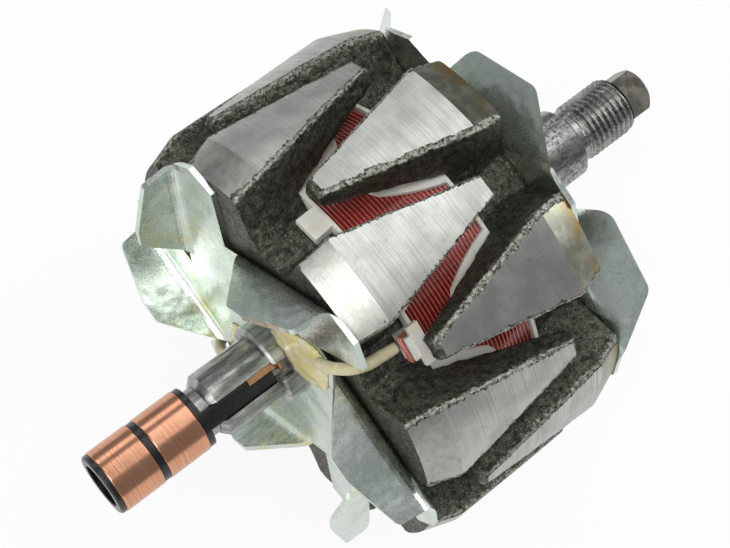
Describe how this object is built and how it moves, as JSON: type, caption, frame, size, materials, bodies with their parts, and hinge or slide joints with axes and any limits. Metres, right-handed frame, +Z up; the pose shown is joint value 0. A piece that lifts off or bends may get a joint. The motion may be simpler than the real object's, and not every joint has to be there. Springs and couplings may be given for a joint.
{
  "type": "alternator rotor",
  "caption": "Claw-pole rotor with interleaved claws round a wound field coil, a bladed fan on each face, a threaded drive end and two copper slip rings.",
  "frame": {"origin": "centre of the drive bearing seat, on the shaft axis", "axes": "+X along the shaft towards the threaded drive end, +Z up as the rotor lies on its claws"},
  "size_m": [0.1512, 0.1, 0.1],
  "materials": {
    "ground_steel": "ground and polished",
    "forged_steel": "forged, with turned outer faces",
    "enamelled_copper": "red enamelled wire, wound",
    "white_nylon": "moulded",
    "zinc_plated_sheet": "zinc plated and passivated",
    "black_moulding": "moulded",
    "turned_copper": "fine turned",
    "cream_sleeving": "insulating sleeve",
    "yellow_resin": "brushed on and cured"
  },
  "bodies": {
    "root": {"shaft": "ground_steel", "front_pole": "forged_steel", "rear_pole": "forged_steel", "field_winding": "enamelled_copper", "bobbin": "white_nylon", "front_fan": "zinc_plated_sheet", "rear_fan": "zinc_plated_sheet", "rear_collar": "ground_steel", "collector_moulding": "black_moulding", "outer_slip_ring": "turned_copper", "inner_slip_ring": "turned_copper", "lead_wrap_a": "enamelled_copper", "lead_sleeve_a": "cream_sleeving", "ring_conductor_a": "turned_copper", "lead_resin_a": "yellow_resin", "lead_wrap_b": "enamelled_copper", "lead_sleeve_b": "cream_sleeving", "ring_conductor_b": "turned_copper", "lead_resin_b": "yellow_resin"}
  },
  "joints": []
}
